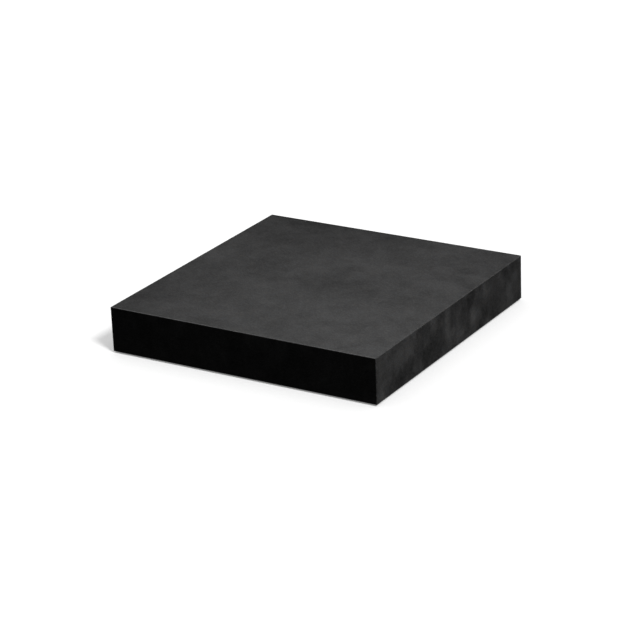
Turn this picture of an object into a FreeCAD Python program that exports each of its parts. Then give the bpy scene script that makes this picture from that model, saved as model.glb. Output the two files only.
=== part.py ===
"""Granite tooling slab: a square block of black granite that stands on four thin stick-on rubber pads.

Leather is laid on the flat top face to be stamped and carved, and the weight of the stone stops the tools
bouncing. The block is one piece of quarried stone. Each pad is cut from rubber sheet and is held to the
underside by its own disc of double-sided tape.

Frame: millimetres, +Z up, origin on the bench surface under the centre of the slab, front towards -Y.
"""

import FreeCAD
import Part
import os

# The stone
SIDE = 304.8  # a 12 inch square
STONE_HEIGHT = 48.0  # sawn from two inch stock and ground flat on both faces
TOP_ARRIS = 0.5  # the small 45 degree flats that are ground along every edge
CORNER_ARRIS = 0.5
BOTTOM_ARRIS = 0.8

# The pads, and the tape that holds them on
PAD_DIAMETER = 25.0
PAD_HEIGHT = 1.2
PAD_RIM = 0.3  # the bevel round the edge that meets the bench
PAD_INSET = 36.0  # from the sides of the stone to a pad's centre
GROOVE_RADII = (4.5, 8.0)  # inner radius of each grip groove in the pad's lower face
GROOVE_WIDTH = 1.0
GROOVE_DEPTH = 0.4
TAPE_DIAMETER = 24.0
TAPE_HEIGHT = 0.3

# Heights above the bench
TAPE_BASE = PAD_HEIGHT
STONE_BASE = TAPE_BASE + TAPE_HEIGHT
WORK_FACE = STONE_BASE + STONE_HEIGHT

PAD_REACH = SIDE / 2 - PAD_INSET  # from the centre of the slab to a pad's centre, along X and along Y
CORNERS = {
    "front_left": (-1, -1),
    "front_right": (1, -1),
    "rear_left": (-1, 1),
    "rear_right": (1, 1),
}


def disc(radius, height, base):
    """An upright cylinder on the Z axis, standing on the height named base."""
    return Part.makeCylinder(radius, height, FreeCAD.Vector(0, 0, base))


def level_edges(shape, height):
    """The edges of a shape that lie wholly at one height."""
    return [e for e in shape.Edges if abs(e.BoundBox.ZMin - height) < 1e-6 and abs(e.BoundBox.ZMax - height) < 1e-6]


def upright_edges(shape):
    """The edges of a shape that run straight up."""
    return [e for e in shape.Edges if e.BoundBox.XLength < 1e-6 and e.BoundBox.YLength < 1e-6]


def granite_slab():
    """The stone, with an arris ground along all twelve of its edges."""
    stone = Part.makeBox(SIDE, SIDE, STONE_HEIGHT, FreeCAD.Vector(-SIDE / 2, -SIDE / 2, STONE_BASE))
    stone = stone.makeChamfer(CORNER_ARRIS, upright_edges(stone))
    stone = stone.makeChamfer(TOP_ARRIS, level_edges(stone, WORK_FACE))
    return stone.makeChamfer(BOTTOM_ARRIS, level_edges(stone, STONE_BASE))


def rubber_pad():
    """A pad centred on the Z axis: a disc with a bevelled lower rim and grip grooves in the face below."""
    pad = disc(PAD_DIAMETER / 2, PAD_HEIGHT, 0)
    pad = pad.makeChamfer(PAD_RIM, level_edges(pad, 0))
    for inner in GROOVE_RADII:
        groove = disc(inner + GROOVE_WIDTH, GROOVE_DEPTH, 0).cut(disc(inner, GROOVE_DEPTH, 0))
        pad = pad.cut(groove)
    return pad


def tape_disc():
    """The disc of double-sided tape that lies between a pad and the stone."""
    return disc(TAPE_DIAMETER / 2, TAPE_HEIGHT, TAPE_BASE)


def at_corner(shape, sides):
    """A copy of a shape, moved from the centre of the slab to the pad's place in one corner."""
    moved = shape.copy()
    moved.translate(FreeCAD.Vector(sides[0] * PAD_REACH, sides[1] * PAD_REACH, 0))
    return moved


def sub_parts():
    """Every separate piece, by the name of its node."""
    pieces = {"granite_slab": granite_slab()}
    for corner, sides in CORNERS.items():
        pieces[f"foot_pad_{corner}"] = at_corner(rubber_pad(), sides)
        pieces[f"foot_tape_{corner}"] = at_corner(tape_disc(), sides)
    return pieces


def main():
    os.makedirs("parts", exist_ok=True)
    for name, shape in sub_parts().items():
        shape.exportStep(f"parts/{name}.step")
        size = shape.BoundBox
        print(
            f"{name}: {size.XLength:.1f} x {size.YLength:.1f} x {size.ZLength:.1f} mm,"
            f" {len(shape.Solids)} solid, valid {shape.isValid()}, {shape.Volume / 1000:.3f} cm3"
        )


main()
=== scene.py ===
# %% [markdown]
# # A granite slab for stamping leather
#
# Leather is carved and stamped on a slab like this one, because heavy stone doesn't bounce under the
# mallet. The real thing is a few simple pieces: one block of black granite that is sawn, honed flat on top
# and eased along its edges, four thin rubber pads that keep it off the bench, and a disc of double-sided
# tape that holds each pad to the underside.
#
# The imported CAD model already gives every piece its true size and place. So this script starts from it, and
# makes only what CAD leaves out: the marks of the saw, the small chips along the edges, the grip of the
# pads, and the look of stone, rubber and tape.

# %% Load the frame
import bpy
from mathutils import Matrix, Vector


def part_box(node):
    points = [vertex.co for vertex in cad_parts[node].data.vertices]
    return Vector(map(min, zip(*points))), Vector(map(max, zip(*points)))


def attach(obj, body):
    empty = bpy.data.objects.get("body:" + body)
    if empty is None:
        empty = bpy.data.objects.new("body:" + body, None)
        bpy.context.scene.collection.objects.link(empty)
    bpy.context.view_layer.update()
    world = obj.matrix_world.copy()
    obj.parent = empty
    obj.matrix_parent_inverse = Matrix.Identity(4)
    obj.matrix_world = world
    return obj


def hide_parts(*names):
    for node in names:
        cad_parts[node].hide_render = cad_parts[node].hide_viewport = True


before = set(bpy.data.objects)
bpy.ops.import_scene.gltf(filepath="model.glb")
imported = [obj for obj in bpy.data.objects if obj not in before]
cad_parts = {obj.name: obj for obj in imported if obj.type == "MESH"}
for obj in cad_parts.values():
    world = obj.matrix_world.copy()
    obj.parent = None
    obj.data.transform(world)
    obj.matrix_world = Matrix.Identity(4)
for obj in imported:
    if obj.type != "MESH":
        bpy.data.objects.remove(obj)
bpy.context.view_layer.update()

# %% [markdown]
# ## Sizes
#
# Stone is measured in millimetres and Blender works in metres, so one name, MM, turns one into the other.
# The outside sizes are read from the CAD pieces. The widths of the ground edges are a maker's choice that
# the CAD model shares, and they are written here once more because the frame tells only where a piece
# begins and ends.

# %% Sizes shared by the pieces
import math

import bmesh
import bpy
from mathutils import Matrix, Vector, noise

MM = 0.001
PLACES = ("front_left", "front_right", "rear_left", "rear_right")

stone_low, stone_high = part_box("granite_slab")
HALF_SIDE = stone_high.x / MM
STONE_BASE = stone_low.z / MM
WORK_FACE = stone_high.z / MM
TOP_ARRIS = 0.5
CORNER_ARRIS = 0.5
BOTTOM_ARRIS = 0.8
print(f"stone: {2 * HALF_SIDE:.1f} mm square, from {STONE_BASE:.1f} to {WORK_FACE:.1f} mm above the bench")

# %% [markdown]
# ## One small helper for every node tree
#
# Materials and Geometry Nodes are both trees of nodes, and a tree is easiest to read as a sum. The class
# below stands for what comes out of one socket. Plus, minus and times then add their own Math nodes, so
# that `1 - mask` can be written just like that. Every other kind of node comes from the one method called
# `node`: its settings go in first, because they can change which sockets it has, and then its inputs.

# %% A wire between nodes
class Wire:
    """What comes out of one socket. With no socket, only the tree that new nodes go into."""

    def __init__(self, tree, socket=None):
        self.tree, self.socket = tree, socket

    def node(self, kind, settings=None, inputs=None, take=0):
        """Adds a node and gives the wire from the output named by take."""
        made = self.tree.nodes.new(kind)
        for name, value in (settings or {}).items():
            setattr(made, name, value)
        for name, value in (inputs or {}).items():
            if isinstance(value, Wire):
                self.tree.links.new(value.socket, made.inputs[name])
            else:
                made.inputs[name].default_value = value
        return Wire(self.tree, made.outputs[take] if len(made.outputs) else None)

    def other(self, output):
        """Another output of the node that this wire comes from."""
        return Wire(self.tree, self.socket.node.outputs[output])

    def math(self, operation, *values):
        return self.node("ShaderNodeMath", {"operation": operation}, dict(enumerate(values)))

    def __add__(self, value):
        return self.math("ADD", self, value)

    def __sub__(self, value):
        return self.math("SUBTRACT", self, value)

    def __rsub__(self, value):
        return self.math("SUBTRACT", value, self)

    def __mul__(self, value):
        return self.math("MULTIPLY", self, value)

    __radd__ = __add__
    __rmul__ = __mul__

    def size(self):
        return self.math("ABSOLUTE", self)

    def least(self, value):
        return self.math("MINIMUM", self, value)

    def most(self, value):
        return self.math("MAXIMUM", self, value)

    def step(self, start, end):
        """0 up to start, 1 from end on, and a smooth rise between them. It falls if start is above end."""
        settings = {"interpolation_type": "SMOOTHSTEP"}
        inputs = {"Value": self, "From Min": start, "From Max": end}
        return self.node("ShaderNodeMapRange", settings, inputs)

    def scaled(self, factors):
        """A vector, with each of its three parts multiplied."""
        return self.node("ShaderNodeVectorMath", {"operation": "MULTIPLY"}, {0: self, 1: factors})

    def parts(self):
        """The three parts of a vector."""
        x = self.node("ShaderNodeSeparateXYZ", inputs={0: self})
        return x, x.other(1), x.other(2)


# %% [markdown]
# ## The pattern of the stone
#
# Black granite is an igneous rock of grown-together crystals: mostly black ones, grey slivers of feldspar a
# millimetre or two long, and a few specks that catch the light. From further off the crystals merge, and
# what is left is a soft cloudiness where the mix changes. Stone has its pattern right through it, so it is
# made as a solid pattern in space. It then runs unbroken from the top over each edge and down the sides, as
# it does on a real sawn block, and no seam can show.
#
# Voronoi cells stand for the crystals, since both fill space with touching grains. Squeezing the space
# first turns the cells into slivers, and three squeezes in different directions keep the slivers from
# lining up.

# %% Begin and end a material
def begin_material(name):
    """An empty material, and the place on the piece in millimetres."""
    material = bpy.data.materials.new(name)
    material.use_nodes = True
    material.node_tree.nodes.clear()
    place = Wire(material.node_tree).node("ShaderNodeTexCoord", take="Object")
    return material, place.scaled((1 / MM,) * 3)


def end_material(material, colour, roughness, normal):
    """Joins the finished patterns to the surface."""
    inputs = {"Base Color": colour, "Roughness": roughness, "Normal": normal}
    shader = Wire(material.node_tree).node("ShaderNodeBsdfPrincipled", inputs=inputs)
    shader.node("ShaderNodeOutputMaterial", inputs={"Surface": shader})
    print(f"{material.name}: {len(material.node_tree.nodes)} nodes")


def blend_colours(factor, first, second):
    """The first colour where the factor is 0, and the second where it is 1. Either may itself be a wire."""
    first, second = (colour if isinstance(colour, Wire) else (*colour, 1) for colour in (first, second))
    return factor.node("ShaderNodeMix", {"data_type": "RGBA"}, {0: factor, 6: first, 7: second}, take=2)


def bumps(height, depth, under=None):
    """A surface that rises with height, by depth millimetres from 0 to 1, on top of another surface."""
    inputs = {"Height": height, "Distance": depth * MM, "Strength": 1.0}
    if under:
        inputs["Normal"] = under
    return height.node("ShaderNodeBump", inputs=inputs)


# %% Soft noise and crystals
def clouds(place, size, detail=2.0, seed=0.0, busy=0.5):
    """Soft noise from 0 to 1, in patches about size millimetres across. Busy weighs its finer parts."""
    settings = {"noise_dimensions": "4D"}
    inputs = {"Vector": place, "W": seed, "Scale": 1 / size, "Detail": detail, "Roughness": busy}
    return place.node("ShaderNodeTexNoise", settings, inputs)


def crystals(place, size, squeeze=(1, 1, 1), turn=(0, 0, 0)):
    """Three numbers from 0 to 1 for each crystal, size millimetres wide. A squeeze makes it a sliver."""
    inputs = {"Vector": place, "Rotation": turn}
    tilted = place.node("ShaderNodeVectorRotate", {"rotation_type": "EULER_XYZ"}, inputs)
    inputs = {"Vector": tilted.scaled(squeeze), "Scale": 1 / size}
    return tilted.node("ShaderNodeTexVoronoi", inputs=inputs, take="Color").parts()


def strayed(place, noise_colour, reach):
    """The place, moved by up to reach millimetres along each axis by a noise's colour."""
    inputs = {0: noise_colour, 1: (reach,) * 3, 2: place}
    return place.node("ShaderNodeVectorMath", {"operation": "MULTIPLY_ADD"}, inputs)


# %% [markdown]
# ## Paler and darker clouds, and painted shade
#
# No two slabs are alike. Where the molten rock cooled more slowly, or held a little more feldspar, the
# stone came out paler. Noise alone gives clouds of the right size, but in places of its own choosing. This
# slab has its clouds where the list below says: each is a soft egg of paler or darker colour, and noise
# frays its outline so that no egg can be seen. Most eggs are such paler and darker stone, but the dark band
# along the back of the top and the darker eggs low on the right side are painted shade. Because the eggs
# lie in the stone and not on it, a cloud that reaches an edge carries on down the side. Under them drifts
# the broadest noise, whose seed was picked, out of many that were tried, because it suits this slab
# roughly by itself.

# %% Where this slab is paler or darker, painted shade included
FRAY = 40.0  # mm, the most that noise moves the outline of a cloud, from one side to the other

# Each row is the middle of a soft cloud in mm, how far it reaches along x, y and z, and how much paler it is.
# The first row, a dark band along the back of the top, and the darker rows low on the right side are painted
# shade.
STONE_AND_SHADE_BANKS = (
    ((-60, 148, 40), (130, 34, 60), -0.12),
    ((-90, 98, 50), (90, 26, 50), -0.05),
    ((-5, 62, 50), (150, 22, 40), 0.05),
    ((-18, 38, 50), (34, 24, 30), 0.06),
    ((128, 38, 50), (34, 32, 24), 0.06),
    ((10, -8, 50), (60, 24, 30), -0.06),
    ((-36, -36, 50), (48, 30, 30), 0.09),
    ((-136, 22, 50), (26, 36, 24), 0.08),
    ((-74, 24, 50), (36, 28, 25), -0.06),
    ((-140, -110, 45), (32, 60, 40), -0.11),
    ((-60, -122, 50), (80, 30, 16), 0.08),
    ((126, 118, 50), (60, 70, 22), -0.07),
    ((134, -134, 50), (32, 32, 14), -0.05),
    ((152, -140, 27), (24, 26, 26), 0.04),
    ((152, 47, 18), (24, 17, 19), 0.46),
    ((152, 76, 42), (20, 13, 12), 0.18),
    ((152, 106, 35), (20, 13, 12), 0.14),
    ((152, 110, 14), (20, 20, 12), 0.14),
    ((152, 46, 44), (16, 30, 15), -0.14),
    ((152, 82, 12), (20, 34, 16), -0.12),
    ((152, -50, 15), (24, 46, 22), -0.09),
    ((152, -102, 13), (24, 28, 18), -0.14),
    ((152, 122, 43), (16, 22, 12), -0.12),
)


def stone_and_shade_banks(place):
    """How much paler than its usual tone the stone is here, with painted shade at the back and low on the
    right.
    """
    frayed = strayed(place, clouds(place, 22, 3.0, 20.0, 0.6).other("Color"), FRAY)
    frayed = frayed.node("ShaderNodeVectorMath", {"operation": "SUBTRACT"}, {0: frayed, 1: (FRAY / 2,) * 3})
    total = 0.0
    for middle, reach, paler in STONE_AND_SHADE_BANKS:
        near = frayed.scaled([1 / length for length in reach])
        inputs = {0: near, 1: [where / length for where, length in zip(middle, reach)]}
        away = near.node("ShaderNodeVectorMath", {"operation": "DISTANCE"}, inputs, take="Value")
        total = total + away.step(1.15, 0.1) * paler
    return total


# %% The stone, right through
BLACK = (0.010, 0.010, 0.010)
WARM_GREY = (0.091, 0.085, 0.078)
COOL_GREY = (0.079, 0.085, 0.092)
USUAL_TONE = 0.246
DRIFT_SEED = 28950


def granite(place):
    """The stone's tone, from 0 for its blackest crystals to 1 for its palest, its sparkle, and its grey."""
    wandering = strayed(place, clouds(place, 1.6).other("Color"), 1.4)
    grains, hue, _ = crystals(wandering, 1.0)
    slivers = crystals(wandering, 2.4, (1, 3.5, 2.2), (0.3, 0.2, 0.5))[0].step(0.80, 0.90)
    slivers = slivers.most(crystals(wandering, 2.2, (3.2, 1, 2.4), (0.9, 0.4, 1.7))[0].step(0.82, 0.91))
    slivers = slivers.most(crystals(wandering, 2.0, (2.4, 3.0, 1), (1.6, 1.1, 2.6))[0].step(0.84, 0.92))
    drift = clouds(place, 70, 5.0, DRIFT_SEED, 0.68)
    patches = clouds(place, 16, 3.0, 9.0, 0.6)
    # the banks add painted shade, along the back of the top and low on the right side, to the stone's own
    # clouds
    tone = USUAL_TONE + 0.50 * (drift - 0.5) + 0.50 * (patches - 0.5) + stone_and_shade_banks(place)
    tone = tone + 0.20 * (grains - 0.5) + 0.24 * slivers
    return tone, slivers.most(grains * 0.6), blend_colours(hue, WARM_GREY, COOL_GREY)


# %% [markdown]
# ## Finishes of the stone
#
# One rock has four finishes here. The top is honed: ground flat with finer and finer stones until it has a
# soft sheen, but never polished like a mirror, so that it doesn't glare. The sides are sawn and rubbed
# once, so they keep faint upright traces of the blade. The underside is left from the saw. And where an
# edge has lost a chip, broken crystals show, which are paler and rough.
#
# All four call the same pattern and differ only in gloss and in fine relief. That is how it is on the real
# block, and it keeps the four from looking like four different rocks.

# %% How near an edge is
def edge_gap(place):
    """How many millimetres the nearest edge of the block is away. On a face, the middle one of the three
    distances to the block's sides does it: the least one is 0, the face itself."""
    x, y, z = place.parts()
    from_side = HALF_SIDE - x.size()
    from_end = HALF_SIDE - y.size()
    middle_height = (WORK_FACE + STONE_BASE) / 2
    from_flat = (WORK_FACE - STONE_BASE) / 2 - (z - middle_height).size()
    nearer = from_side.least(from_end)
    further = from_side.most(from_end)
    return nearer.most(further.least(from_flat))


def worn(gap, place):
    """Patches next to an edge that hands and tools have rubbed."""
    return gap.step(1.6, 0.4) * clouds(place, 3.0, 3.0, 2.0).step(0.35, 0.75)


# %% The honed top
def honed_granite():
    material, place = begin_material("honed black granite")
    tone, sparkle, grey = granite(place)
    gap = edge_gap(place)
    wear = worn(gap, place)
    eased = gap.step(1.0, 0.5)
    haze = clouds(place, 26, 4.0, 7.0)
    scratches = clouds(place.scaled((0.05, 2.2, 1.0)), 1.0, 2.0, 3.0).step(0.58, 0.80)
    roughness = 0.40 + 0.12 * (haze - 0.5) - 0.05 * sparkle
    roughness = roughness + 0.18 * eased + 0.06 * wear + 0.03 * scratches
    relief = bumps(sparkle, 0.010)
    relief = bumps(clouds(place, 0.9, 3.0, 1.0), 0.012, relief)
    end_material(material, blend_colours(tone + 0.04 * wear, BLACK, grey), roughness, relief)
    return material


honed = honed_granite()


# %% The rubbed sides
def rubbed_granite():
    material, place = begin_material("rubbed black granite")
    tone, sparkle, grey = granite(place)
    x, y, z = place.parts()
    along = place.node("ShaderNodeCombineXYZ", inputs={0: x + y, 1: z * 0.10, 2: 0.0})
    streaks = clouds(along, 14, 3.0, 5.0)
    lines = clouds(along, 1.1, 2.0, 6.0)
    slurry = clouds(place.scaled((1.0, 1.0, 0.8)), 18, 3.0, 12.0, 0.6).step(0.46, 0.70)
    wear = worn(edge_gap(place), place)
    tone = tone + 0.30 * (streaks - 0.5) + 0.24 * slurry - 0.05 + 0.04 * wear
    roughness = 0.40 + 0.12 * (streaks - 0.5) + 0.07 * slurry - 0.04 * sparkle + 0.08 * wear
    relief = bumps(lines, 0.05)
    relief = bumps(clouds(place, 0.8, 3.0, 1.0), 0.03, relief)
    end_material(material, blend_colours(tone, BLACK, grey), roughness, relief)
    return material


rubbed = rubbed_granite()


# %% The sawn underside
def sawn_granite():
    material, place = begin_material("sawn black granite")
    tone, sparkle, grey = granite(place)
    kerfs = clouds(place.scaled((0.015, 1.0, 0.0)), 3.2, 2.0, 8.0)
    scuffs = edge_gap(place).step(9.0, 1.0) * clouds(place, 6.0, 4.0, 3.0).step(0.45, 0.7)
    tone = tone + 0.10 + 0.14 * (kerfs - 0.5) + 0.12 * scuffs
    roughness = 0.72 + 0.12 * (kerfs - 0.5) - 0.05 * sparkle
    relief = bumps(kerfs, 0.15)
    relief = bumps(clouds(place, 0.7, 4.0, 1.0), 0.08, relief)
    end_material(material, blend_colours(tone, BLACK, grey), roughness, relief)
    return material


sawn = sawn_granite()


# %% Broken stone in the chips
def chipped_granite():
    material, place = begin_material("chipped black granite")
    tone, sparkle, grey = granite(place)
    facets = crystals(place, 0.35)[0]
    dull = 1 - facets.step(0.80, 0.95)
    relief = bumps(facets, 0.08)
    relief = bumps(clouds(place, 0.25, 3.0, 1.0), 0.05, relief)
    tone = tone + 0.10 + 0.30 * (facets - 0.5)
    end_material(material, blend_colours(tone, BLACK, grey), 0.38 + 0.34 * dull, relief)
    return material


chipped = chipped_granite()

# %% [markdown]
# ## The block
#
# The real block is cut from a slab with a diamond blade, the top is honed, and the edges are eased by hand
# with a rubbing stone to narrow flats, which a mason calls arrises. A box with its edges bevelled would
# come close. But a sawn side is never quite flat: the blade wanders by a few hundredths of a millimetre and
# leaves faint upright waves that only show when light rakes along the stone.
#
# So the block is built as a stack of square loops, one above another, that are skinned together like a
# lofted hull. Each loop knows how far it is drawn in from the outside, which gives the arrises, and the
# waves are added point by point. The middle of the top is one flat face, since honing makes it so. The
# underside is closed in narrow strips from side to side, and each line between two strips is as deep as the
# saw cut there.

# %% Points round the block
STEP_ALONG = 2.0
END_RUN = 3  # mm at each end of a side, where the points stand closer
EASE = 0.25  # how softly an arris turns into a face


def marks_along(length):
    """Distances along an edge: close together at each end, where it turns, and even between."""
    even = length - 2 * END_RUN
    count = round(even / STEP_ALONG)
    middle = [END_RUN + even * i / count for i in range(count + 1)]
    return [0, EASE, 1.0, *middle, length - 1.0, length - EASE, length]


def square_loop(inset, height):
    """One loop round the block as (place, the way out of the side)."""
    half = HALF_SIDE - inset
    cut = max(CORNER_ARRIS - (2 - math.sqrt(2)) * inset, 0.1)
    points = []
    for quarter in range(4):
        out = Vector((round(math.sin(quarter * math.pi / 2)), -round(math.cos(quarter * math.pi / 2)), 0))
        right = Vector((-out.y, out.x, 0))
        length = 2 * (half - cut)
        for along in marks_along(2 * (HALF_SIDE - CORNER_ARRIS)):
            share = along / (2 * (HALF_SIDE - CORNER_ARRIS))
            place = out * half + right * (share - 0.5) * length
            points.append((place + Vector((0, 0, height)), out))
    return points


print(f"{len(square_loop(0, 0))} points in each loop")


# %% How far the saw wandered
WANDER, RIPPLE = 0.04, 0.008  # mm, the broad and the fine waves of a side
KERF, SAG = 0.05, 0.02  # mm, the marks of the saw in the underside and its slow waves


def saw_wave(place, out):
    """How many millimetres the sawn side lies inside its true place here. It is never outside it."""
    along = place.dot(Vector((-out.y, out.x, 0)))
    which_side = 10 * out.x + 20 * out.y
    broad = noise.noise(Vector((along / 17, place.z / 90, which_side + 3)))
    fine = noise.noise(Vector((along / 5, place.z / 60, which_side + 40)))
    return WANDER * (1 + broad) + RIPPLE * (1 + fine)


def kerf_depth(y):
    """How many millimetres the underside is hollow here, in straight marks from side to side."""
    marks = noise.noise(Vector((0, y / 7, 80)))
    slow = noise.noise(Vector((0, y / 60, 90)))
    return KERF * (1 + marks) + SAG * (1 + slow)


# %% The loops of the block
SIDE_ROWS = 10
INNER_LOOPS = (14, 4)  # mm in from the outside, on the top and the underside


def level_profile():
    """The block from the underside up to the top as (inset, height above the underside) of each loop."""
    thick = WORK_FACE - STONE_BASE
    low, high = BOTTOM_ARRIS + 1.5, thick - TOP_ARRIS - 1.5
    under = [(inset, 0) for inset in (*INNER_LOOPS, BOTTOM_ARRIS + EASE, BOTTOM_ARRIS)]
    lower_turn = [(0, BOTTOM_ARRIS), (0, BOTTOM_ARRIS + EASE)]
    side = [(0, low + (high - low) * i / SIDE_ROWS) for i in range(SIDE_ROWS + 1)]
    upper_turn = [(0, thick - TOP_ARRIS - EASE), (0, thick - TOP_ARRIS)]
    top = [(inset, thick) for inset in (TOP_ARRIS, TOP_ARRIS + EASE, *reversed(INNER_LOOPS))]
    return under + lower_turn + side + upper_turn + top


def skin_loop(mesh, inset, height):
    """Adds the points of one loop, moved to where the saw left them."""
    points = []
    for place, out in square_loop(inset, STONE_BASE + height):
        if inset < min(INNER_LOOPS):
            place = place - out * saw_wave(place, out)
        if height == 0:
            place.z += kerf_depth(place.y)
        points.append(mesh.verts.new(place * MM))
    return points


# %% Skin the loops into the block
def close_underside(mesh, loop):
    """Closes the underside with strips from left to right, so that it keeps the marks of the saw."""
    count = len(loop) // 4
    front, right, rear, left = (loop[count * i:count * (i + 1)] for i in range(4))
    left.reverse()
    mesh.faces.new(reversed([*front, right[0], left[0]]))
    for i in range(count - 1):
        mesh.faces.new((left[i], left[i + 1], right[i + 1], right[i]))
    mesh.faces.new(reversed([*rear, left[-1], right[-1]]))


def build_block():
    mesh = bmesh.new()
    loops = [skin_loop(mesh, inset, height) for inset, height in level_profile()]
    for low, high in zip(loops, loops[1:]):
        for i, vert in enumerate(low):
            after = (i + 1) % len(low)
            mesh.faces.new((vert, low[after], high[after], high[i]))
    close_underside(mesh, loops[0])
    mesh.faces.new(loops[-1])
    mesh.normal_update()
    for face in mesh.faces:
        face.smooth = True
        face.material_index = 0 if face.normal.z > 0.5 else 2 if face.normal.z < -0.5 else 1
    data = bpy.data.meshes.new("granite_block")
    mesh.to_mesh(data)
    mesh.free()
    for material in (honed, rubbed, sawn, chipped):
        data.materials.append(material)
    return data


block = bpy.data.objects.new("granite_block", build_block())
bpy.context.scene.collection.objects.link(block)
print(f"block: {len(block.data.vertices)} points, {len(block.data.polygons)} faces")

# %% [markdown]
# ## Chips along the arrises
#
# Granite is brittle, so even a careful mason's arris has small shallow chips, mostly under a millimetre and
# now and then a bit more. Each is a shell-shaped scoop. They could be painted on as bump, but a chip
# changes the outline of the edge, so each one is really cut out.
#
# Chips repeat along edges, and that is work for Geometry Nodes: points are set out along the twelve
# arrises, a seed picks which of them get a chip, a lumpy ball goes on each, and one boolean cut takes all
# the balls away. The balls sit mostly outside the stone, so they only scoop out a thin shell. First come
# the twelve lines.

# %% The lines that chips follow
def arris_lines():
    """The middle line of every arris as a mesh edge. Each end holds the way that points out of the stone."""
    data = bpy.data.meshes.new("arris_lines")
    places, outs, edges = [], [], []
    middle = (WORK_FACE + STONE_BASE) / 2
    sizes = (HALF_SIDE, HALF_SIDE, (WORK_FACE - STONE_BASE) / 2)
    for run in range(3):
        first, second = (run + 1) % 3, (run + 2) % 3
        for side_a in (-1, 1):
            for side_b in (-1, 1):
                out = [0, 0, 0]
                out[first], out[second] = side_a, side_b
                flat = CORNER_ARRIS if run == 2 else TOP_ARRIS if out[2] > 0 else BOTTOM_ARRIS
                edges.append((len(places), len(places) + 1))
                for end in (-1, 1):
                    place = [0, 0, middle]
                    place[run] += end * (sizes[run] - 1.5)
                    place[first] += side_a * (sizes[first] - flat / 2)
                    place[second] += side_b * (sizes[second] - flat / 2)
                    places.append(Vector(place) * MM)
                    outs.append(Vector(out).normalized())
    data.from_pydata(places, edges, [])
    ways = data.attributes.new("way_out", "FLOAT_VECTOR", "POINT")
    for item, out in zip(ways.data, outs):
        item.vector = out
    return data


lines = bpy.data.objects.new("arris_lines", arris_lines())
bpy.context.scene.collection.objects.link(lines)


# %% [markdown]
# ## Trees that make geometry
#
# A Geometry Nodes tree is a recipe with its sizes left open. Each size is an input with a name, so the same
# tree can be run again with others. Blender knows an input by a code and not by its name, so the helper
# that runs a tree looks the code up. It then keeps the result as a plain mesh and takes the modifier off
# again, because a finished piece should be only its mesh.

# %% A geometry tree with named inputs
def begin_tree(name, sizes):
    """A new Geometry Nodes tree whose inputs are named, each with its kind of socket and its usual value."""
    tree = bpy.data.node_groups.new(name, "GeometryNodeTree")
    tree.interface.new_socket("Geometry", in_out="INPUT", socket_type="NodeSocketGeometry")
    tree.interface.new_socket("Geometry", in_out="OUTPUT", socket_type="NodeSocketGeometry")
    for label, (kind, value) in sizes.items():
        socket = tree.interface.new_socket(label, in_out="INPUT", socket_type="NodeSocket" + kind)
        if value is not None:
            socket.default_value = value
    entry = tree.nodes.new("NodeGroupInput")
    return tree, {socket.name: Wire(tree, socket) for socket in entry.outputs if socket.name}


def end_tree(tree, geometry):
    result = tree.nodes.new("NodeGroupOutput")
    tree.links.new(geometry.socket, result.inputs["Geometry"])


def apply_tree(piece, tree, **values):
    """Runs the tree on a piece, keeps the result as its plain mesh and takes the modifier away."""
    modifier = piece.modifiers.new(tree.name, "NODES")
    modifier.node_group = tree
    codes = {item.name: item.identifier for item in tree.interface.items_tree if item.in_out == "INPUT"}
    for label, value in values.items():
        modifier[codes[label.replace("_", " ")]] = value
    bpy.context.view_layer.update()
    depsgraph = bpy.context.evaluated_depsgraph_get()
    plain = bpy.data.meshes.new_from_object(piece.evaluated_get(depsgraph))
    plain.name = piece.name
    piece.modifiers.remove(modifier)
    piece.data = plain
    print(f"{piece.name}: {len(plain.vertices)} points, {len(plain.polygons)} faces")


# %% [markdown]
# ## Balls and cuts
#
# Few chips are large and most are small, so each ball's radius comes from a random number multiplied by
# itself twice, which pushes most of them towards the small end. Noise then moves the points of the balls,
# since a smooth ball would leave a scoop like a spoon's.
#
# The balls carry a mark named broken, and the faces that the cut leaves in the stone inherit it. The mark
# does two things: those faces get the look of broken stone, and the line where they meet the arris is kept
# sharp.

# %% Lumpy balls that will cut the chips
def chance(wire, kind, seed, inputs, take):
    """A random value for each point."""
    return wire.node("FunctionNodeRandomValue", {"data_type": kind}, {**inputs, "Seed": seed}, take=take)


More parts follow.
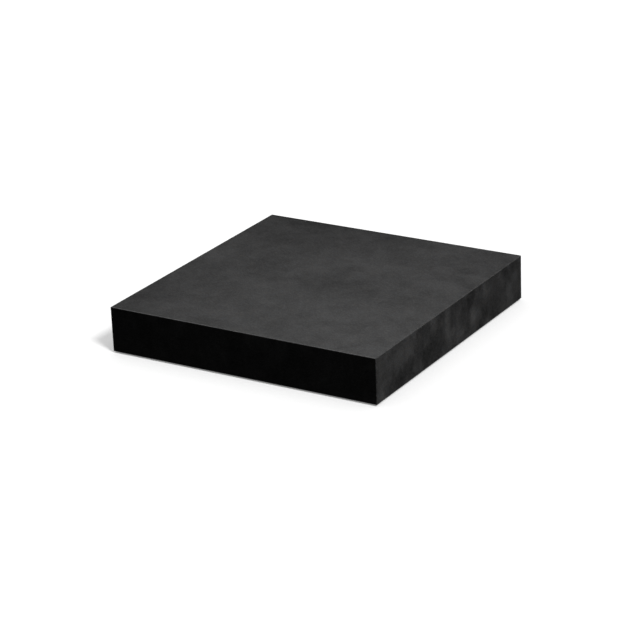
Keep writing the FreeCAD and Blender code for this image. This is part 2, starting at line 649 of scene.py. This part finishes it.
def chip_balls(given):
    """A lumpy ball on some of the spots along the arrises, mostly outside the stone."""
    seed = given["Seed"]
    lines = seed.node("GeometryNodeObjectInfo", inputs={"Object": given["Arris lines"]}, take="Geometry")
    curve = seed.node("GeometryNodeMeshToCurve", inputs={"Mesh": lines})
    inputs = {"Curve": curve, "Length": given["Spacing"]}
    spots = seed.node("GeometryNodeResampleCurve", {"mode": "LENGTH"}, inputs)
    spots = seed.node("GeometryNodeCurveToPoints", {"mode": "EVALUATED"}, {"Curve": spots})
    chosen = chance(seed, "BOOLEAN", seed, {"Probability": given["Share chipped"]}, 3)
    luck = chance(seed, "FLOAT", seed + 1, {2: 0.0, 3: 1.0}, 1)
    radius = given["Smallest chip"] + luck * luck * luck * (given["Largest chip"] - given["Smallest chip"])
    way_out = seed.node("GeometryNodeInputNamedAttribute", {"data_type": "FLOAT_VECTOR"}, {"Name": "way_out"})
    outward = {0: way_out, "Scale": radius * given["Shallowness"]}
    outward = seed.node("ShaderNodeVectorMath", {"operation": "SCALE"}, outward)
    spots = seed.node("GeometryNodeSetPosition", inputs={"Geometry": spots, "Offset": outward})
    ball = seed.node("GeometryNodeMeshIcoSphere", inputs={"Radius": 1.0, "Subdivisions": 3})
    turn = chance(seed, "FLOAT_VECTOR", seed + 2, {0: (0, 0, 0), 1: (2 * math.pi,) * 3}, 0)
    inputs = {"Points": spots, "Selection": chosen, "Instance": ball, "Rotation": turn, "Scale": radius}
    balls = seed.node("GeometryNodeInstanceOnPoints", inputs=inputs)
    balls = seed.node("GeometryNodeRealizeInstances", inputs={"Geometry": balls})
    inputs = {"Vector": seed.node("GeometryNodeInputPosition"), "Scale": 1 / (0.9 * MM), "Detail": 2.0}
    lumps = seed.node("ShaderNodeTexNoise", inputs=inputs, take="Color")
    lumps = seed.node("ShaderNodeVectorMath", {"operation": "SUBTRACT"}, {0: lumps, 1: (0.5,) * 3})
    lumps = seed.node("ShaderNodeVectorMath", {"operation": "SCALE"}, {0: lumps, "Scale": 0.5 * MM})
    return seed.node("GeometryNodeSetPosition", inputs={"Geometry": balls, "Offset": lumps})


# %% Cut the chips
def chip_tree():
    tree, given = begin_tree("chips", {
        "Arris lines": ("Object", None),
        "Spacing": ("Float", 3 * MM),
        "Share chipped": ("Float", 0.12),
        "Smallest chip": ("Float", 0.4 * MM),
        "Largest chip": ("Float", 1.6 * MM),
        "Shallowness": ("Float", 0.78),
        "Chip material": ("Material", None),
        "Seed": ("Int", 1),
    })
    stone = given["Geometry"]
    inputs = {"Geometry": chip_balls(given), "Name": "broken", "Value": 1.0}
    balls = stone.node("GeometryNodeStoreNamedAttribute", {"data_type": "FLOAT", "domain": "FACE"}, inputs)
    cut = stone.node(
        "GeometryNodeMeshBoolean",
        {"operation": "DIFFERENCE", "solver": "EXACT"},
        {"Mesh 1": stone, "Mesh 2": balls, "Self Intersection": True},
    )
    broken = stone.node("GeometryNodeInputNamedAttribute", {"data_type": "FLOAT"}, {"Name": "broken"})
    between = stone.node("GeometryNodeFieldOnDomain", {"data_type": "FLOAT", "domain": "EDGE"}, {0: broken})
    rim = (0.3 - (between - 0.5).size()).math("GREATER_THAN", 0)
    inputs = {"Geometry": cut, "Selection": rim, "Shade Smooth": False}
    cut = stone.node("GeometryNodeSetShadeSmooth", {"domain": "EDGE"}, inputs)
    cut = stone.node("GeometryNodeRealizeInstances", inputs={"Geometry": cut})
    inputs = {"Geometry": cut, "Selection": broken, "Material": given["Chip material"]}
    end_tree(tree, stone.node("GeometryNodeSetMaterial", inputs=inputs))
    return tree


apply_tree(block, chip_tree(), Arris_lines=lines, Chip_material=chipped, Seed=5)
bpy.data.objects.remove(lines)
for index, material in enumerate(block.data.materials):
    print(material.name, "on", sum(face.material_index == index for face in block.data.polygons), "faces")

# %% [markdown]
# ## Rubber pads
#
# A bare stone would grind the bench and slide under the mallet, so four thin rubber pads are stuck beneath
# it. Such a pad is punched from sheet that was moulded with a grip pattern: two ring grooves that work as
# suckers, and short ribs round the outside. A disc alone would look like a plain cylinder, so the section
# of the pad is drawn once and turned round its axis, as on a lathe. Blender has a spin tool for that, but a
# loop that writes the points and faces in a fixed order gives the very same mesh in every run.
#
# The ribs repeat round the pad and follow its face, so Geometry Nodes raises them. They can't be lower than
# the face that stands on the bench, so it is the gaps between them that are pushed up into the rubber.

# %% Turn a section round its axis
def turned(name, section, places_round=144):
    """A closed solid of revolution. The section is (radius, height) in millimetres, from axis to axis."""
    (_, lowest), *outline, (_, highest) = section
    points = []
    for turn in range(places_round):
        angle = 2 * math.pi * turn / places_round
        points += [(radius * math.cos(angle), radius * math.sin(angle), height) for radius, height in outline]
    below, above = len(points), len(points) + 1
    points += [(0, 0, lowest), (0, 0, highest)]
    faces = []
    for turn in range(places_round):
        here = turn * len(outline)
        after = (turn + 1) % places_round * len(outline)
        last = len(outline) - 1
        faces.append((below, after, here))
        faces += [(here + i, after + i, after + i + 1, here + i + 1) for i in range(last)]
        faces.append((above, here + last, after + last))
    data = bpy.data.meshes.new(name)
    data.from_pydata([Vector(point) * MM for point in points], [], faces)
    data.shade_smooth()
    piece = bpy.data.objects.new(name, data)
    bpy.context.scene.collection.objects.link(piece)
    return piece


pad_low, pad_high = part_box("foot_pad_front_left")
PAD_RADIUS = (pad_high.x - pad_low.x) / 2 / MM
PAD_HEIGHT = (pad_high.z - pad_low.z) / MM
RIM = 0.3
GROOVES = ((4.5, 5.5), (8.0, 9.0))
GROOVE_DEPTH = 0.4
RIBS_FROM, RIBS_TO = 9.4, 12.0  # the ring of short ribs, as radii
LIP = 0.08  # how softly rubber turns into a groove
NEAR = 0.02  # one small step of a rounded corner
print(f"pad: {2 * PAD_RADIUS:.1f} mm across and {PAD_HEIGHT:.1f} mm thick")


# %% The section of a pad
def pad_section():
    """The pad's outline as (radius, height), from the middle of its lower face round to the middle above."""
    section = [(0, 0), (1.5, 0), (3.0, 0)]
    for inner, outer in GROOVES:
        top_of_wall = GROOVE_DEPTH - LIP
        section += [(inner - LIP, 0), (inner - NEAR, 0.03), (inner, LIP + NEAR), (inner + NEAR, top_of_wall)]
        section += [(inner + LIP, GROOVE_DEPTH), (outer - LIP, GROOVE_DEPTH), (outer - NEAR, top_of_wall)]
        section += [(outer, LIP + NEAR), (outer + NEAR, 0.03), (outer + LIP, 0)]
        if inner == GROOVES[0][0]:
            section += [(6.3, 0), (7.2, 0)]
    across = (RIBS_FROM, 9.6, 9.8, 10.2, 10.8, 11.4, 11.7, 11.85, RIBS_TO, PAD_RADIUS - RIM)
    section += [(radius, 0) for radius in across]
    section += [(PAD_RADIUS - RIM + 0.06, NEAR), (PAD_RADIUS - NEAR, RIM - 0.04), (PAD_RADIUS, RIM + NEAR)]
    section += [(PAD_RADIUS - 0.03, PAD_HEIGHT / 2), (PAD_RADIUS, PAD_HEIGHT - LIP)]
    section += [(PAD_RADIUS - NEAR, PAD_HEIGHT - NEAR), (PAD_RADIUS - LIP, PAD_HEIGHT)]
    section += [(8.0, PAD_HEIGHT), (0, PAD_HEIGHT)]
    return section


# %% Raise the grip ribs
def grip_tree():
    tree, given = begin_tree("grip ribs", {
        "Ribs": ("Float", 36.0),
        "Inner radius": ("Float", RIBS_FROM * MM),
        "Outer radius": ("Float", RIBS_TO * MM),
        "Depth": ("Float", 0.18 * MM),
        "Rubber": ("Material", None),
    })
    ribs = given["Ribs"]
    x, y, z = ribs.node("GeometryNodeInputPosition").parts()
    radius = (x * x + y * y).math("SQRT")
    wave = (y.math("ARCTAN2", x) * ribs).math("COSINE")
    soft = 0.25 * MM
    ring = radius.step(given["Inner radius"], given["Inner radius"] + soft)
    ring = ring * radius.step(given["Outer radius"], given["Outer radius"] - soft)
    gaps = wave.step(0.3, -0.3) * ring * z.step(0.05 * MM, 0.01 * MM)
    lift = ribs.node("ShaderNodeCombineXYZ", inputs={2: gaps * given["Depth"]})
    pad = ribs.node("GeometryNodeSetPosition", inputs={"Geometry": given["Geometry"], "Offset": lift})
    pad = ribs.node("GeometryNodeRealizeInstances", inputs={"Geometry": pad})
    inputs = {"Geometry": pad, "Material": given["Rubber"]}
    end_tree(tree, ribs.node("GeometryNodeSetMaterial", inputs=inputs))
    return tree


# %% [markdown]
# ## Rubber and tape
#
# Moulded rubber is a warm near-black with a dull bloom on its skin, and its surface is finely grained where
# it touched the mould. Dust sticks to the rim. The tape is a thin white foam with glue on both faces, so
# its cut edge shows small pores, and the glue at top and bottom has taken up a little dust.

# %% Rubber and foam
def moulded_rubber():
    material, place = begin_material("moulded black rubber")
    bloom = clouds(place, 6.0, 4.0, 2.0)
    grain = clouds(place, 0.35, 2.0, 3.0)
    dust = clouds(place, 1.2, 3.0, 5.0).step(0.55, 0.8)
    colour = blend_colours(0.25 + 0.5 * bloom + 0.35 * dust, (0.010, 0.010, 0.0095), (0.060, 0.058, 0.055))
    roughness = 0.72 + 0.16 * (bloom - 0.5) + 0.10 * dust
    end_material(material, colour, roughness, bumps(bloom, 0.02, bumps(grain, 0.03)))
    return material


def foam_tape():
    material, place = begin_material("white foam tape")
    pores = clouds(place, 0.16, 2.0, 4.0).step(0.42, 0.62)
    height = place.parts()[2]
    middle = (TAPE_LOW + TAPE_HIGH) / 2
    glue = (height - middle).size().step(0.06, 0.12) * clouds(place, 1.4, 3.0, 2.0).step(0.3, 0.7)
    colour = blend_colours(0.75 * pores + 0.25 - 0.55 * glue, (0.20, 0.19, 0.17), (0.66, 0.65, 0.61))
    roughness = 0.82 - 0.35 * glue
    end_material(material, colour, roughness, bumps(pores, 0.04))
    return material


tape_low, tape_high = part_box("foot_tape_front_left")
TAPE_RADIUS = (tape_high.x - tape_low.x) / 2 / MM
TAPE_LOW, TAPE_HIGH = tape_low.z / MM, tape_high.z / MM
rubber = moulded_rubber()
tape = foam_tape()


# %% [markdown]
# ## Tape discs, and the four feet
#
# Foam tape is cut with a punch that squeezes it, so its edge is drawn in a little at half height and isn't
# quite round. The disc is turned from a section like the pad's, and noise then draws its outside in
# unevenly.
#
# Each pad and each disc is made at the middle of the world and moved to its CAD place point by point, so
# that its object stays at the origin. Every pad is turned by a different angle, as they would be when stuck
# on by hand. Last, the CAD solids are hidden, and each piece rides on the one body that the slab is.

# %% The section of the tape
def tape_section():
    """The outline of a disc of tape as (radius, height), from the middle below round to the middle above."""
    waist = 0.06
    return [
        (0, TAPE_LOW), (8.0, TAPE_LOW), (TAPE_RADIUS, TAPE_LOW), (TAPE_RADIUS, TAPE_LOW + 0.05),
        (TAPE_RADIUS - waist, TAPE_LOW + 0.08), (TAPE_RADIUS - waist, TAPE_HIGH - 0.08),
        (TAPE_RADIUS, TAPE_HIGH - 0.05), (TAPE_RADIUS, TAPE_HIGH), (8.0, TAPE_HIGH), (0, TAPE_HIGH),
    ]


def ragged(piece, depth, seed):
    """Draws the outside of a cut disc in by up to depth millimetres, unevenly, as a punch leaves it."""
    for vert in piece.data.vertices:
        radius = vert.co.xy.length
        if radius > 0.9 * TAPE_RADIUS * MM:
            way = vert.co.xy / radius
            draw = 0.5 * (1 + noise.noise(Vector((4 * way.x, 4 * way.y, seed)))) * depth * MM
            vert.co.xy = way * (radius - draw)


# %% Make and place the four feet
def moved_to(piece, node):
    """Moves the mesh, and not the object, to the middle of a CAD node."""
    low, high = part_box(node)
    for vert in piece.data.vertices:
        vert.co.xy += ((low + high) / 2).xy
    piece.data.update()


pieces = [block]
grip = grip_tree()
for turn, place in enumerate(PLACES):
    pad = turned("rubber_pad_" + place, pad_section())
    pad.data.transform(Matrix.Rotation(0.7 * turn, 4, "Z"))
    apply_tree(pad, grip, Rubber=rubber)
    moved_to(pad, "foot_pad_" + place)
    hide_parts("foot_pad_" + place)
    disc = turned("tape_disc_" + place, tape_section(), 96)
    ragged(disc, 0.25, turn)
    moved_to(disc, "foot_tape_" + place)
    disc.data.materials.append(tape)
    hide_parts("foot_tape_" + place)
    pieces += [pad, disc]
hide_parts("granite_slab")
for piece in pieces:
    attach(piece, "root")

# %% [markdown]
# ## Camera
#
# The slab is shown as a catalogue shows it: from in front and a little to the right, from above, and from
# far away through a long lens, so that its sides hardly converge. A short lens near the stone would frame
# it as well, but would stretch the near corner. The camera is also tipped a little to one side, as one held
# by hand.
#
# Three directions that stand square on each other turn the camera: the way back from the slab to the
# camera, the way to the right of the picture, and the way up it.

# %% Camera
AZIMUTH, ELEVATION, TIP = (math.radians(angle) for angle in (31.79, 21.90, -2.37))
LENS = 133.9  # mm, on a sensor 36 mm wide
DISTANCE = 2.438
AIM_RIGHT, AIM_UP = -1.4 * MM, 4.5 * MM  # from the middle of the underside

outward = math.cos(ELEVATION)
back = Vector((math.sin(AZIMUTH) * outward, -math.cos(AZIMUTH) * outward, math.sin(ELEVATION)))
level = Vector((math.cos(AZIMUTH), math.sin(AZIMUTH), 0))
upright = back.cross(level)
right = math.cos(TIP) * level + math.sin(TIP) * upright
up = math.cos(TIP) * upright - math.sin(TIP) * level
aim = Vector((0, 0, STONE_BASE * MM)) + AIM_RIGHT * right + AIM_UP * up

camera_data = bpy.data.cameras.new("camera")
camera_data.lens = LENS
camera_data.clip_start, camera_data.clip_end = 0.05, 100
camera = bpy.data.objects.new("camera", camera_data)
bpy.context.scene.collection.objects.link(camera)
turned_to_slab = Matrix((right, up, back)).transposed().to_4x4()
camera.matrix_world = Matrix.Translation(aim + DISTANCE * back) @ turned_to_slab
bpy.context.scene.camera = camera
print("camera at", [round(value, 3) for value in aim + DISTANCE * back], "with a lens of", LENS, "mm")

# %% [markdown]
# ## Floor
#
# The floor is a sheet of pale paper, so wide that its end is never seen. In a studio such paper is lit
# until it turns quite white. Lamps alone could do it, but then every shadow on it would be deep. A little
# light of its own in the material keeps the shadows as pale as they are on well lit paper, and the same
# strength everywhere.
#
# The stone is nearly black and any light from below would show on it, so the paper is kept out of its
# reflections.

# %% Floor
FLOOR_HALF = 15
PAPER_GLOW = 0.20
WHITE = (1, 1, 1, 1)


def pale_paper():
    material, place = begin_material("pale paper")
    fibres = clouds(place, 2.0, 4.0, 1.0)
    colour = blend_colours(fibres, (0.78, 0.78, 0.78), (0.82, 0.82, 0.82))
    inputs = {"Base Color": colour, "Roughness": 0.9}
    inputs.update({"Emission Color": WHITE, "Emission Strength": PAPER_GLOW})
    shader = place.node("ShaderNodeBsdfPrincipled", inputs=inputs)
    shader.node("ShaderNodeOutputMaterial", inputs={"Surface": shader})
    return material


corners = [(FLOOR_HALF * x, FLOOR_HALF * y, 0) for x, y in ((-1, -1), (1, -1), (1, 1), (-1, 1))]
floor_data = bpy.data.meshes.new("floor")
floor_data.from_pydata(corners, [], [(0, 1, 2, 3)])
floor_data.materials.append(pale_paper())
floor = bpy.data.objects.new("floor", floor_data)
bpy.context.scene.collection.objects.link(floor)
floor.visible_diffuse = False
floor.visible_glossy = False
print(f"floor: {2 * FLOOR_HALF} m square")

# %% [markdown]
# ## Light
#
# The stone is lit by softboxes, and each has a job. The key, low on the right, lights the right side. The
# large one high on the left and the one behind light the honed top, and a very small one close over the
# near corner makes that corner a little paler. Two low cards, in front and behind, put a faint sheen on the
# sides that the others leave dark. None stands where the top or an arris would mirror it into the camera,
# because a dull black stone with a white glare on it looks like plastic.
#
# Blender can tell a lamp which things it lights. So the paper has lamps of its own: a sun that casts the
# one clear shadow, to the left, and a very wide one straight above. Close to its sides the stone hides half
# of that wide light, which gives the soft grey line that anything has where it stands on paper.

# %% Lamps
def group(name, members):
    made = bpy.data.collections.new(name)
    for member in members:
        made.objects.link(member)
    return made


def add_lamp(name, kind, energy, place, lights, **settings):
    """A lamp at a place, in metres, that faces the middle of the stone and lights one group of things."""
    data = bpy.data.lights.new(name, kind)
    data.energy = energy
    for key, value in settings.items():
        setattr(data, key, value)
    lamp = bpy.data.objects.new(name, data)
    lamp.location = place
    lamp.rotation_mode = "QUATERNION"
    middle = Vector((0, 0, (STONE_BASE + WORK_FACE) / 2 * MM))
    lamp.rotation_quaternion = (Vector(place) - middle).to_track_quat("Z", "Y")
    lamp.light_linking.receiver_collection = lights
    lamp.visible_camera = False
    bpy.context.scene.collection.objects.link(lamp)
    print(f"{name}: {energy} W" if kind == "AREA" else f"{name}: {energy} W/m2")


def add_softbox(name, energy, place, width, height):
    add_lamp(name, "AREA", energy, place, on_stone, shape="RECTANGLE", size=width, size_y=height)


def add_sun(name, energy, way, spread):
    add_lamp(name, "SUN", energy, way, on_paper, angle=math.radians(spread))


on_stone = group("lit by the softboxes", pieces)
on_paper = group("lit by the suns", [floor])
add_softbox("key", 4.6, (0.86, -0.09, 0.48), 0.10, 0.30)
add_softbox("left", 24.5, (-1.21, 0.30, 1.65), 0.60, 0.60)
add_softbox("rear", 1.4, (-0.33, 0.87, 1.06), 0.50, 0.40)
add_softbox("near", 0.55, (0.12, -0.11, 0.42), 0.10, 0.05)
add_softbox("front card", 1.1, (0.15, -2.30, 0.13), 1.20, 0.25)
add_softbox("back card", 6.4, (0.85, 2.17, 0.25), 0.80, 0.40)
add_sun("shadow sun", 2.3, (0.82, -0.39, 1.0), 13)
add_sun("overhead sun", 1.85, (0.0, 0.0, 1.0), 120)

# %% [markdown]
# ## The room
#
# Past the paper there is only the world. A world bright enough to look white would also light the stone
# evenly from all round and take away its shape. So the ray decides: the camera sees a white wall, and the
# stone gets only a dim even glow.

# %% World
WALL = 1.2
DIM_GLOW = 0.012

world = bpy.data.worlds.new("studio")
bpy.context.scene.world = world
world.use_nodes = True
world.node_tree.nodes.clear()
room = Wire(world.node_tree)
seen = room.node("ShaderNodeLightPath", take="Is Camera Ray")
wall = room.node("ShaderNodeBackground", inputs={"Color": WHITE, "Strength": WALL})
glow = room.node("ShaderNodeBackground", inputs={"Color": WHITE, "Strength": DIM_GLOW})
both = room.node("ShaderNodeMixShader", inputs={0: seen, 1: glow, 2: wall})
both.node("ShaderNodeOutputWorld", inputs={"Surface": both})
bpy.context.scene.view_settings.view_transform = "Standard"
print("world:", len(world.node_tree.nodes), "nodes")
